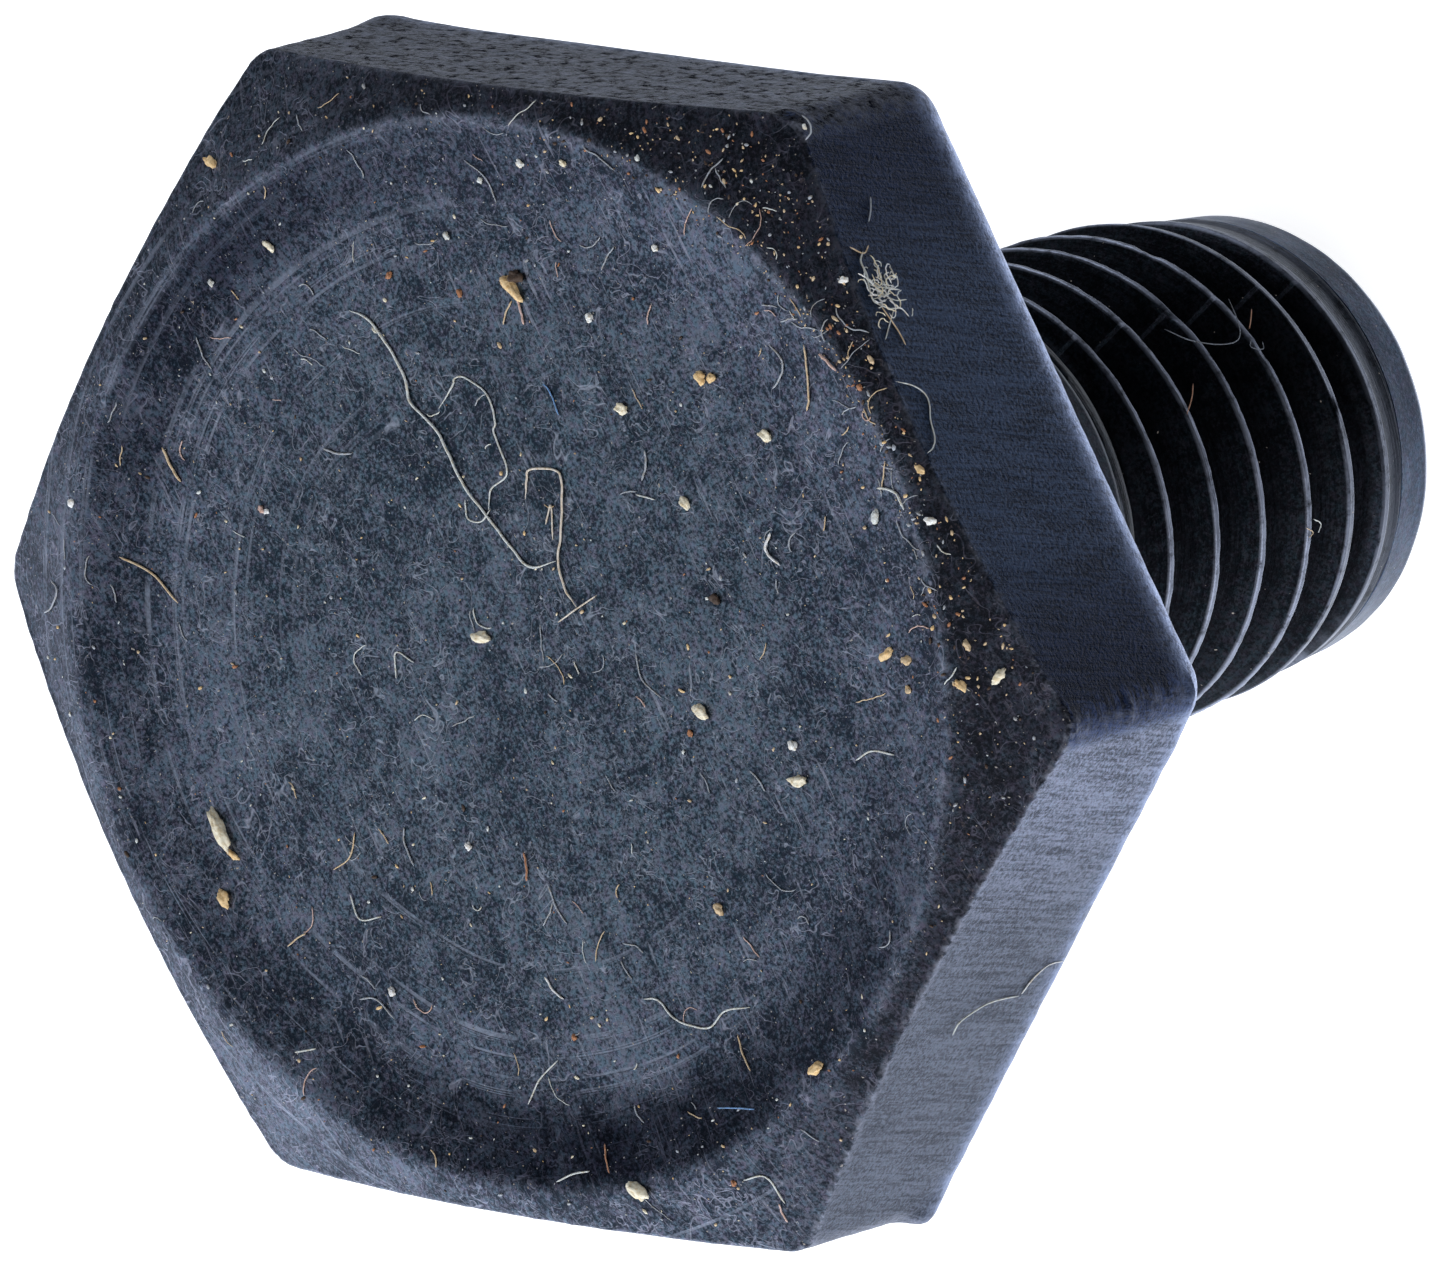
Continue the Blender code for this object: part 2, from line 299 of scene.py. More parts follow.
def build_head():
    base, outward, side, place = hexagon_columns()
    reach = np.linalg.norm(base, axis=1)
    profiles = [head_profile(r) for r in reach]
    kinds = np.array([row[2] for row in profiles[0]])
    radius = np.array([[row[0] for row in p] for p in profiles]).T
    height = np.array([[np.nan if row[1] is None else row[1] for row in p] for p in profiles]).T
    height = np.where(np.isnan(height), crown_height(radius), height)
    way = base / reach[:, None]
    points = np.dstack([radius * way[:, 0], radius * way[:, 1], height])
    azimuth = np.degrees(np.arctan2(base[:, 1], base[:, 0]))
    outward_3d = np.column_stack([outward, np.zeros(len(outward))])[None, :, :]

    def stand_out(amount):
        """Moves every point square to its side."""
        points[...] += amount[..., None] * outward_3d

    crown = kinds <= CHAMFER_ROW
    points[crown, :, 2] += 0.010 * wobble(points[crown], 0.5, 3) * smoothstep(radius[crown], 0.3, 1.5)
    points[crown, :, 2] += 0.004 * wobble(points[crown], 2.4, 2, 7.0) * smoothstep(radius[crown], 0.8, 2.0)
    for x, y, size, depth in FACE_DENTS:
        gap = np.hypot(points[crown, :, 0] - x, points[crown, :, 1] - y)
        points[crown, :, 2] -= depth * bell(gap, 0.0, size)

    # The sides carry the marks of the trimming die: fine ridges that run down some sides and along others
    walls = (kinds >= EDGE_ROW) & (kinds <= UNDERSIDE_ROW)
    grain = side_grain(points, side, place)
    ridges = wobble(grain[walls] * np.array([3.0, 0.35, 1.0]), 1.0, 3)
    points[walls] += (0.010 * ridges)[..., None] * outward_3d

    edge_height = crown_height(reach)[None, :]
    rise = np.clip((height - BEARING_Z) / (edge_height - BEARING_Z), 0.0, 1.0)
    swell = around(azimuth, SWELL_BACK) * (1 - rise) + around(azimuth, SWELL_FRONT) * rise
    stand_out(swell * smoothstep(radius, FACE_RADIUS + 0.05, reach[None, :]))

    # Ragged front edges, most of all on the side at 210 degrees, and the combed corner beside it
    near_edge = bell(height, edge_height, 0.10) * bell(radius, reach[None, :], 0.14)
    jag = wobble(np.dstack([place * 7.0, side * 0.11, side * 0.0])[0], 1.0, 4, 3.0)
    ragged = np.where(side == 210, 0.050, np.where(side == 270, 0.022, 0.018))
    shift = (ragged * jag)[None, :] * near_edge
    points[..., 2] += shift
    stand_out(0.5 * np.abs(shift))

    still = np.zeros_like(radius)
    teeth = wobble(np.dstack([points[..., 2] * 5.0, still, still + 9.0]), 1.0, 2)
    comb = np.maximum(teeth, 0.0) * bell(azimuth, COMBED_CORNER, 1.1)[None, :] * walls[:, None]
    stand_out(0.13 * comb)

    for where, level, wide, tall, out, up in HEAD_MARKS:
        turn = (azimuth - where + 180.0) % 360.0 - 180.0
        mark = bell(turn, 0.0, wide)[None, :] * bell(height, level, tall)
        mark = mark * ((kinds >= CHAMFER_ROW) & (kinds <= UNDERSIDE_ROW))[:, None]
        stand_out(out * mark)
        points[..., 2] += up * mark

    # Masks that the material reads: the chamfer, the sides, painted shade inside the rim, and worn edges and
    # the burnished round under the head with a painted highlight
    every = np.ones_like(radius)
    side_rows = np.isin(kinds, (WALL_ROW, UNDERSIDE_ROW))[:, None]
    flat = side_rows * every + (kinds == EDGE_ROW)[:, None] * smoothstep(edge_height - height, -0.02, 0.05)
    chamfer = smoothstep(radius, FACE_RADIUS - 0.12, FACE_RADIUS + 0.28) * (kinds <= EDGE_ROW)[:, None]
    # Painted shade: the hollow ring inside the rim darkened by azimuth
    rim_shade = around(azimuth, RIM_PAINTED_SHADE) * (kinds == FACE_ROW)[:, None]
    rim_shade = rim_shade * smoothstep(radius, 6.5, 7.5) * smoothstep(radius, FACE_RADIUS + 0.02, FACE_RADIUS - 0.28)
    facing = 0.25 + 0.75 * smoothstep(np.cos(np.radians(azimuth + 75.0)), 0.0, 0.8)
    rim = bell(radius, FACE_RADIUS - 0.06, 0.10) * crown[:, None] * facing[None, :]
    lip_width = np.where(side == 210, 0.09, 0.045)[None, :]
    lip = bell((edge_height - height) / lip_width, 0.6, 1.0) * np.isin(kinds, (EDGE_ROW, WALL_ROW))[:, None]
    lip = lip * np.where(side == 210, 1.0, 0.6)[None, :]
    corner = bell(np.abs(place), np.abs(place).max(), 0.22)[None, :] * walls[:, None] * every
    wear = 0.55 * rim + 0.5 * corner + 1.2 * comb + 0.9 * lip
    masks = {
        "strokes": bell(azimuth, COMBED_CORNER + 1.3, 1.3)[None, :] * walls[:, None] * every,
        "chamfer": chamfer - flat,
        "flat": flat,
        "rim_shade": rim_shade,
        "wear": wear,
        "burnish_and_highlight": bell(height, BEARING_Z + 0.55, 0.32) * side_rows,
    }
    masks = {key: np.clip(values, 0.0, 1.0) for key, values in masks.items()}
    return lathe("head_visual", points, {**masks, "grain": grain})


# ---------------------------------------------------------------- shank


def turned_points(profile, columns):
    """Rows x columns points of a turned profile of (radius, height) pairs."""
    angles = np.linspace(0, 2 * math.pi, columns, endpoint=False)
    r = np.array([p[0] for p in profile])[:, None]
    z = np.array([p[1] for p in profile])[:, None] * np.ones((1, columns))
    return np.dstack([r * np.cos(angles), r * np.sin(angles), z])


def push_out(points, amount):
    """Moves points away from the axis."""
    away = points.copy()
    away[..., 2] = 0.0
    length = np.maximum(np.linalg.norm(away, axis=-1, keepdims=True), 1e-6)
    return points + away / length * amount[..., None]


def build_neck():
    profile = [(SHANK_RADIUS * q, COLLAR_Z) for q in (0.4, 0.8, 0.985)]
    profile += [(SHANK_RADIUS, z) for z in np.linspace(COLLAR_Z - 0.01, THREAD_TOP + 0.01, 90)]
    profile += [(SHANK_RADIUS * q, THREAD_TOP) for q in (0.985, 0.8, 0.4)]
    points = turned_points(profile, 200)
    side = (np.hypot(points[..., 0], points[..., 1]) > SHANK_RADIUS * 0.99).astype(float)
    stretched = points * np.array([1.0, 1.0, 2.5])
    points = push_out(points, 0.006 * (wobble(stretched, 1.1, 3) - 0.3) * side)
    return lathe("neck_visual", points, {"wear": np.zeros(points.shape[:2])})


def straight(a, b, steps):
    """Pairs along the line from a to b."""
    return [tuple(u + (v - u) * q for u, v in zip(a, b)) for q in steps]


def rounded(a, b, c, steps):
    """Pairs along the curve from a to c that b pulls on."""
    made = []
    for q in steps:
        made.append(tuple((1 - q) ** 2 * u + 2 * q * (1 - q) * v + q * q * w for u, v, w in zip(a, b, c)))
    return made


def build_point():
    """The smooth end of the bolt: a band, a soft shoulder, the chamfer, and a soft edge to the end face."""
    top = (POINT_RADIUS, POINT_TOP)
    profile = straight((0.0, POINT_TOP), top, (0.4, 0.8, 0.99))
    profile += straight(top, SHOULDER[0], np.linspace(0.0, 1.0, 24))
    profile += rounded(*SHOULDER, np.linspace(0.1, 1.0, 10))
    profile += straight(SHOULDER[2], END_EDGE[0], np.linspace(0.04, 1.0, 26))
    profile += rounded(*END_EDGE, np.linspace(0.1, 1.0, 8))
    profile += straight(END_EDGE[2], (0.0, 0.0), (0.15, 0.35, 0.55, 0.75, 0.9))
    points = turned_points(profile, 240)
    reach = np.hypot(points[..., 0], points[..., 1])
    body = (points[..., 2] < POINT_TOP - 0.001) * (points[..., 2] > 0.02)
    points = push_out(points, 0.012 * (wobble(points, 0.9, 3) - 0.25) * body)
    shoulder = bell(points[..., 2], SHOULDER[1][1] + 0.01, 0.07) * (reach > 3.0)
    return lathe("point_visual", points, {"wear": 0.5 * shoulder})


THREAD_COLUMNS = 288
ROWS_PER_PITCH = 30


def thread_profile():
    """Radius over one pitch, from the middle of one crest to the next, with softened corners."""
    s = np.linspace(0.0, PITCH, 2001)[:-1]
    away = np.minimum(s, PITCH - s)
    sharp = np.clip(CREST_RADIUS - (away - HALF_CREST) / FLANK_SLOPE, ROOT_RADIUS, CREST_RADIUS)
    width = 44
    kernel = np.hanning(width)
    kernel /= kernel.sum()
    wrapped = np.concatenate([sharp[-width:], sharp, sharp[:width]])
    soft = np.convolve(wrapped, kernel, "same")[width:-width]
    return s, np.minimum(soft + 0.012, CREST_RADIUS)


def row_places(s):
    """Heights of the rows in one pitch, closest at the crest's shoulders and at the groove's corners."""
    away = np.minimum(s, PITCH - s)
    crowding = 1.0 + 7.0 * bell(away, HALF_CREST, 0.06) + 3.0 * bell(away, 0.55, 0.09)
    total = np.cumsum(np.interp(np.linspace(0, 1, 401), s / PITCH, crowding))
    total = (total - total[0]) / (total[-1] - total[0])
    return np.interp(np.arange(ROWS_PER_PITCH) / ROWS_PER_PITCH, total, np.linspace(0, PITCH, 401))


# Knocks on the thread's crests: azimuth, height, azimuth width, height width, depth
CREST_KNOCKS = [
    (-66.0, 6.5, 3.0, 0.22, 0.13), (-99.0, 3.75, 3.5, 0.25, 0.09), (-46.0, 4.9, 3.0, 0.2, 0.05),
    (-88.0, 8.2, 4.0, 0.2, 0.05), (-140.0, 5.6, 5.0, 0.25, 0.06), (20.0, 5.3, 6.0, 0.3, 0.07),
    (100.0, 7.4, 5.0, 0.3, 0.06), (160.0, 3.9, 5.0, 0.3, 0.08),
]


def around_shank(radius, theta, z):
    return np.dstack([radius * np.cos(theta), radius * np.sin(theta), z])


def helix_faces(rows, columns):
    """Faces of a helical sheet whose last column joins the first one, a pitch further up."""
    faces = []
    for i in range(rows - 1):
        for j in range(i * columns, i * columns + columns - 1):
            faces.append((j, j + 1, j + columns + 1, j + columns))
    for i in range(rows - 1 - ROWS_PER_PITCH):
        last, up = i * columns + columns - 1, i + ROWS_PER_PITCH
        faces.append((last, up * columns, (up + 1) * columns, last + columns))
    return faces


def cut_level(obj, top, bottom):
    """Cuts the sheet off square at two heights and closes it there."""
    bm = bmesh.new()
    bm.from_mesh(obj.data)
    for level, way in ((top * MM, 1.0), (bottom * MM, -1.0)):
        everything = list(bm.verts) + list(bm.edges) + list(bm.faces)
        bmesh.ops.bisect_plane(
            bm, geom=everything, dist=1e-9, plane_co=(0, 0, level), plane_no=(0, 0, way), clear_outer=True,
        )
        rim = [e for e in bm.edges if e.is_boundary and all(abs(v.co.z - level) < 1e-7 for v in e.verts)]
        bmesh.ops.holes_fill(bm, edges=rim)
    bmesh.ops.recalc_face_normals(bm, faces=bm.faces)
    for face in bm.faces:
        face.smooth = len(face.verts) <= 5
    bm.to_mesh(obj.data)
    bm.free()


def build_thread():
    s, soft = thread_profile()
    turns_low = math.floor((POINT_TOP - 0.4) / PITCH) - 2
    turns_high = math.ceil((THREAD_TOP + 0.4) / PITCH) + 1
    offsets = np.concatenate([row_places(s) + PITCH * n for n in range(turns_low, turns_high)])
    angles = np.linspace(0.0, 2 * math.pi, THREAD_COLUMNS, endpoint=False)
    z = offsets[:, None] + (PITCH * angles / (2 * math.pi))[None, :]
    theta = angles[None, :] + THREAD_START + np.zeros_like(z)
    azimuth = np.degrees(theta)
    radius = np.interp(offsets % PITCH, s, soft, period=PITCH)[:, None] + np.zeros_like(z)

    # Ragged and knocked crests
    crest = smoothstep(radius, CREST_RADIUS - 0.07, CREST_RADIUS - 0.012)
    points = around_shank(radius, theta, z)
    ragged = wobble(points * np.array([1.0, 1.0, 0.6]), 2.2, 3)
    radius -= 0.022 * crest * np.abs(ragged)
    radius += 0.006 * wobble(points, 3.1, 2, 5.0)
    for where, level, wide, tall, depth in CREST_KNOCKS:
        turn = (azimuth - where + 180.0) % 360.0 - 180.0
        radius -= depth * crest * bell(turn, 0.0, wide) * bell(z, level, tall)

    # The groove's floor rises past the surface of the neck and of the point. Below the last low ridge the
    # groove is full, so a smooth band runs from the ridge to the point.
    into_neck = np.clip((z - THREAD_TOP + RUN_OUT) / (RUN_OUT - 0.1), 0, 2)
    into_point = np.clip((POINT_TOP + POINT_RUN_OUT - z) / (POINT_RUN_OUT - 0.05), 0, 2)
    turned = (azimuth + 280.0) % 360.0 - 280.0
    ridge = 2 * PITCH + PITCH * (turned - math.degrees(THREAD_START)) / 360.0
    fading = smoothstep(np.abs(turned + 100.0), 178.0, 110.0)
    filled = smoothstep(ridge - z, 0.06, 0.22) * fading
    neck_floor = ROOT_RADIUS + (SHANK_RADIUS + 0.1 - ROOT_RADIUS) * into_neck
    point_floor = ROOT_RADIUS + (POINT_RADIUS + 0.1 - ROOT_RADIUS) * np.maximum(into_point, filled)
    floor = np.maximum(neck_floor, point_floor)
    softness = 0.03
    radius = softness * np.logaddexp(radius / softness, floor / softness)

    # The crests taper towards the point
    taper = np.clip((z - POINT_TOP) / (TAPER_START - POINT_TOP), 0, 1)
    taper = POINT_RADIUS + (SHANK_RADIUS - POINT_RADIUS) * taper
    step = smoothstep(ridge - z, 0.03, 0.12) * smoothstep(z, POINT_TOP + 0.02, POINT_TOP + 0.2) * fading
    radius = np.minimum(radius, taper - 0.004 - 0.045 * step)

    worn = crest * smoothstep(radius, CREST_RADIUS - 0.055, CREST_RADIUS - 0.012)
    tapered = smoothstep(taper - radius, 0.016, 0.005) * (z < TAPER_START) * (z > ridge - 0.05)
    worn = np.maximum(np.maximum(worn, 0.6 * tapered), 0.24 * filled)
    depth = smoothstep(CREST_RADIUS - radius, 0.0, CREST_RADIUS - ROOT_RADIUS) * (1 - filled)
    spiral = np.dstack([offsets[:, None] + np.zeros_like(z), theta, depth]).reshape(-1, 3)
    points = around_shank(radius, theta, z).reshape(-1, 3)
    masks = {"wear": worn.ravel(), "grain": spiral, "depth": depth.ravel()}
    obj = shown_mesh("thread_visual", points, helix_faces(*z.shape), masks)
    cut_level(obj, THREAD_TOP, POINT_TOP)
    return obj


# ---------------------------------------------------------------- lint and dust

# Colours of lint and dust
PALE, TAN, BLUE, PINK = (0.76, 0.79, 0.77), (0.76, 0.58, 0.37), (0.16, 0.34, 0.66), (0.72, 0.50, 0.44)
GREY, RUST, SMOKE, LINEN = (0.44, 0.47, 0.52), (0.48, 0.22, 0.11), (0.16, 0.18, 0.22), (0.84, 0.75, 0.64)
CREAM, SAND, BROWN, BRIGHT = (0.98, 0.90, 0.70), (0.95, 0.68, 0.36), (0.08, 0.05, 0.035), (1.0, 1.0, 0.96)
WHITE = (0.95, 0.95, 0.95)

# Fibres that lie on the face: thickness, colour, then x, y pairs
FACE_FIBRES = [
    (0.050, PALE, (
        5.81, .09, 5.54, -.17, 4.94, -.32, 4.45, -.34, 4.12, -.25, 3.57, -.48, 3.13, -.51, 2.59, -.53,
        2.04, -.69, 1.49, -.85, 1.03, -1.04, .91, -1.54,
    )),
    (0.030, PALE, (2.42, -.43, 2.14, -.33, 2.0, -.54, 2.09, -.79)),
    (0.034, PALE, (
        3.82, -.7, 4.01, -1.1, 4.1, -1.22, 4.03, -1.4, 3.64, -1.65, 3.22, -1.58, 3.08, -1.47, 2.57, -1.43,
        2.4, -1.31, 2.35, -.97, 2.1, -.77,
    )),
    (0.042, LINEN, (
        1.96, -1.50, 2.2, -1.67, 2.32, -1.81, 2.15, -2.21, 1.98, -2.29, 1.64, -2.11, 1.19, -1.81,
        .9, -1.58, .48, -1.48, .14, -1.54,
    )),
    (0.030, LINEN, (1.47, -1.65, 1.69, -1.89, 1.21, -1.65)),
    (0.032, LINEN, (.08, -1.09, .12, -1.5, .15, -1.98)),
    (0.050, TAN, (5.44, 4.51, 5.1, 4.53, 4.84, 4.49)),
    (0.045, TAN, (4.29, 6.12, 3.84, 5.75, 3.23, 5.53)),
    (0.040, GREY, (4.18, 1.67, 4.0, 1.45, 3.89, 1.2)),
    (0.030, PALE, (.55, 2.22, .9, 2.02, .63, 1.78)),
    (0.030, GREY, (-1.5, 3.28, -1.71, 3.4, -2.1, 3.42)),
    (0.030, PALE, (-1.99, 4.79, -2.41, 4.82, -2.54, 4.4)),
    (0.034, GREY, (-3.49, 5.47, -3.61, 5.18, -4.02, 5.0)),
    (0.032, TAN, (-2.24, 6.34, -2.2, 6.1, -2.2, 5.91)),
    (0.032, PALE, (-3.75, 6.93, -3.8, 6.75, -3.85, 6.56)),
    (0.040, RUST, (-2.73, 1.35, -2.95, 1.42, -3.14, 1.53)),
    (0.030, GREY, (-3.34, 1.18, -3.7, 1.22, -4.01, 1.16)),
    (0.040, WHITE, (-4.55, 1.97, -4.8, 1.93, -4.99, 1.82)),
    (0.030, PALE, (-6.15, 3.28, -5.9, 2.9, -5.77, 2.41)),
    (0.036, PALE, (-5.57, .4, -5.69, .16, -6.05, .02, -6.29, -.25, -6.43, -.55, -6.32, -.93, -6.45, -1.4)),
    (0.030, TAN, (-6.72, -.97, -7.0, -.93, -7.31, -.97)),
    (0.030, BLUE, (-7.57, -.12, -7.7, -.45, -7.86, -.81)),
    (0.034, PALE, (-8.72, .03, -8.83, -.34, -9.3, -.3)),
    (0.034, PINK, (-9.26, -.21, -9.4, -.14, -9.56, -.11)),
    (0.030, RUST, (-7.24, 2.15, -7.45, 2.22, -7.68, 2.25)),
    (0.034, PALE, (-7.42, 3.24, -7.43, 2.9, -7.51, 2.59)),
    (0.052, WHITE, (-.31, -5.49, -.51, -5.27, -.81, -5.39)),
    (0.045, PALE, (-.54, -7.78, -.6, -7.92, -.76, -8.1, -1.03, -8.11)),
    (0.034, PALE, (-3.94, -5.17, -3.93, -5.52, -4.15, -5.92)),
    (0.030, GREY, (-3.3, -3.26, -3.5, -3.34, -3.69, -3.36)),
    (0.036, GREY, (1.71, -3.96, 1.5, -3.86, 1.33, -3.67)),
    (0.030, PALE, (1.19, -3.46, .98, -3.75)),
    (0.060, PINK, (1.64, -7.86, 1.51, -7.94, 1.29, -8.03)),
    (0.034, TAN, (1.88, -7.65, 1.55, -7.48, 1.15, -7.24, 1.01, -7.09)),
    (0.034, GREY, (2.16, -6.98, 1.89, -7.08, 1.72, -7.0, 1.6, -6.78, 1.56, -6.65)),
    (0.030, BLUE, (3.36, -2.72, 3.19, -2.77, 2.82, -2.74)),
    (0.034, GREY, (4.53, 7.67, 4.33, 7.58, 4.16, 7.9, 4.16, 8.17)),
    (0.030, TAN, (4.69, -2.83, 4.58, -2.63, 4.44, -2.49)),
    (0.042, PINK, (4.69, -2.94, 4.46, -2.9, 4.28, -2.85)),
    (0.030, GREY, (5.01, -8.83, 4.86, -8.9, 4.71, -8.88, 4.64, -8.77)),
    (0.028, TAN, (-1.2, 4.2, -1.5, 4.5, -1.55, 4.9)),
    (0.026, GREY, (6.9, -3.2, 6.5, -3.4, 6.1, -3.35)),
    (0.026, GREY, (-.9, -2.2, -1.3, -2.1, -1.7, -2.3)),
]

# Fibres on the sides: the side's azimuth, thickness, colour, then place along the side and height
SIDE_FIBRES = [
    (270, 0.026, PALE, (
        .75, 20.29, .62, 19.95, .45, 19.76, .27, 19.77, .05, 19.9, -.23, 19.99, -.37, 20.14, -.42, 20.3,
    )),
    (270, 0.026, GREY, (3.55, 18.96, 3.35, 19.1, 3.19, 19.26)),
    (270, 0.034, PALE, (
        2.78, 19.7, 2.64, 19.85, 2.43, 19.85, 2.27, 19.91, 2.04, 19.97, 1.92, 19.85, 1.8, 19.6,
    )),
    (270, 0.030, PALE, (2.27, 19.9, 2.15, 19.55, 2.07, 19.26)),
    (270, 0.026, PALE, (2.04, 19.97, 2.06, 19.6, 2.18, 19.35)),
    (270, 0.026, TAN, (1.92, 19.85, 1.5, 19.72, 1.24, 19.69)),
    (270, 0.024, PALE, (1.8, 19.6, 1.6, 19.85, 1.4, 20.09)),
    (270, 0.028, TAN, (2.9, 19.95, 2.75, 19.7, 2.85, 19.5)),
    (270, 0.024, PALE, (2.2, 19.8, 1.95, 19.5, 1.9, 19.2)),
    (210, 0.034, PALE, (-.94, 18.92, -.71, 18.92, -.57, 18.68, -.47, 18.31, -.49, 17.86, -.54, 17.49)),
    (210, 0.030, WHITE, (-.52, 17.43, -.24, 17.31, -.05, 17.05, -.07, 16.64)),
]

# Fibres on the thread: thickness, colour, then azimuth and height
THREAD_FIBRES = [
    (0.020, SMOKE, (-70.4, 6.8, -75.1, 6.4, -78.2, 5.7, -76.9, 5.2, -67.3, 4.8)),
    (0.018, SMOKE, (-78.7, 5.0, -80.5, 5.15, -81.8, 4.9, -80.0, 4.8)),
    (0.020, RUST, (-85.0, 7.0, -88.0, 7.2, -91.3, 7.5)),
    (0.020, RUST, (-71.6, 4.5, -74.0, 4.7, -76.2, 4.9)),
    (0.022, PALE, (-122.5, 4.75, -124.0, 4.55, -126.0, 4.60)),
    (0.020, TAN, (-124.0, 4.95, -125.5, 4.75, -126.5, 4.85)),
]

# Grains on the face: x, y, size, stretch, turn in degrees, colour
GRAINS = [
    (.47, .38, .105, 1.5, 60, CREAM), (-0.15, 6.60, .15, 2.4, -179, CREAM),
    (-0.59, 6.59, .06, 2.0, -154, SAND), (-2.16, -2.88, .10, 1.5, 20, CREAM),
    (-3.78, -4.02, .10, 1.6, 75, CREAM), (-8.13, 1.85, .12, 1.6, 30, CREAM),
    (-3.85, -8.2, .085, 1.8, 110, CREAM), (-3.28, -4.2, .07, 1.2, 0, BRIGHT),
    (-1.11, 7.06, .10, 1.3, 10, SAND), (-2.24, 2.29, .055, 1.2, 0, WHITE),
    (-3.63, 4.83, .06, 1.2, 0, WHITE), (2.44, -3.88, .085, 1.3, 50, CREAM),
    (3.88, -4.04, .06, 1.1, 0, BRIGHT), (4.28, -5.76, .05, 1.1, 0, BRIGHT),
    (5.57, -6.28, .04, 1.2, 0, PALE), (-1.35, -8.42, .07, 1.4, 60, BRIGHT),
    (-.89, -7.49, .07, 1.6, 140, PALE), (.72, -4.24, .075, 1.4, 10, CREAM),
    (-.77, -4.01, .075, 1.2, 30, BROWN), (2.25, -5.5, .085, 1.2, 0, SAND), (2.17, -5.67, .07, 1.1, 0, SAND),
    (-4.92, -1.63, .07, 1.3, 0, TAN), (-7.76, -2.22, .09, 1.6, 100, SAND),
    (-5.58, 1.94, .045, 1.2, 0, RUST), (-2.37, -2.51, .045, 1.3, 0, RUST), (-8.69, .22, .05, 1.2, 0, RUST),
    (5.38, 6.5, .06, 1.2, 30, WHITE), (3.85, 3.27, .05, 1.2, 0, PINK), (3.78, 3.2, .04, 1.0, 0, WHITE),
    (-2.77, -6.55, .08, 1.7, 100, SAND), (1.01, -6.15, .085, 1.3, 40, CREAM),
    (4.86, -2.95, .11, 1.9, 15, SAND), (4.98, -3.1, .10, 1.3, 60, BROWN),
    (2.46, -8.65, .055, 1.4, 70, BRIGHT), (6.41, -4.15, .055, 1.2, 0, BRIGHT),
    (6.08, -4.92, .05, 1.4, 40, CREAM), (6.51, -3.28, .045, 1.2, 0, PALE), (6.06, -2.2, .05, 1.4, 0, PALE),
    (5.2, -1.97, .045, 1.3, 0, RUST), (5.97, -.88, .05, 1.4, 120, RUST), (8.87, 1.39, .09, 1.4, 30, SAND),
    (7.29, .94, .06, 1.8, 20, CREAM), (7.24, 2.24, .05, 1.2, 0, PALE), (4.83, -8.81, .035, 1.2, 0, BRIGHT),
    (-3.24, -8.03, .06, 1.3, 0, TAN), (-3.73, -7.67, .08, 1.4, 30, SAND), (-3.0, -6.9, .07, 1.3, 60, TAN),
    (-3.4, -6.7, .05, 1.2, 0, TAN), (-.6, -8.6, .06, 1.4, 40, SAND), (1.2, -8.6, .05, 1.4, 10, TAN),
    (.9, -8.3, .045, 1.2, 0, RUST),
]


def tube(path, half_width, sides=6):
    """Points and faces of a thin tube with pointed ends along a path."""
    path = np.asarray(path, float)
    tangents = np.gradient(path, axis=0)
    tangents /= np.maximum(np.linalg.norm(tangents, axis=1, keepdims=True), 1e-9)
    helper = np.array([0.31, 0.17, 0.93])
    across = np.cross(tangents, helper)
    across /= np.linalg.norm(across, axis=1, keepdims=True)
    upward = np.cross(across, tangents)
    grown = np.linspace(0.0, 1.0, len(path))
    taper = np.clip(np.minimum(grown, 1 - grown) * 9.0 + 0.25, 0.0, 1.0)
    points, faces = [], []
    for i, place in enumerate(path):
        for k in range(sides):
            a = 2 * math.pi * k / sides
            ring = across[i] * math.cos(a) + upward[i] * math.sin(a)
            points.append(place + ring * half_width * taper[i])
    for i in range(len(path) - 1):
        for k in range(sides):
            m = (k + 1) % sides
            faces.append((i * sides + k, i * sides + m, (i + 1) * sides + m, (i + 1) * sides + k))
    faces.append(tuple(range(sides - 1, -1, -1)))
    faces.append(tuple((len(path) - 1) * sides + k for k in range(sides)))
    return points, faces


def eased(points, per_piece=7):
    """A smooth path through the given points."""
    points = np.asarray(points, float)
    padded = np.vstack([2 * points[0] - points[1], points, 2 * points[-1] - points[-2]])
    made = []
    for i in range(1, len(padded) - 2):
        a, b, c, d = padded[i - 1:i + 3]
        for t in np.arange(per_piece) / per_piece:
            bend = (2 * a - 5 * b + 4 * c - d) * t * t + (3 * b - a - 3 * c + d) * t ** 3
            made.append(0.5 * (2 * b + (c - a) * t + bend))
    made.append(points[-1])
    return np.array(made)


# Half width of a fibre as a share of the thickness in the tables
FIBRE_SLIMNESS = 0.41


def inside_hexagon(radius, angle, margin):
    """Whether a point of the head's top lies inside its sides, in from the edge by the margin."""
    lane = abs((math.degrees(angle) % 60.0) - 30.0)
    return radius < (APOTHEM - margin) / math.cos(math.radians(lane))


def mapped_fibre(row):
    """Half width, colour and smooth plan of one row of the tables."""
    thick, colour, flat = row
    return thick * FIBRE_SLIMNESS, colour, eased(np.array(flat).reshape(-1, 2))


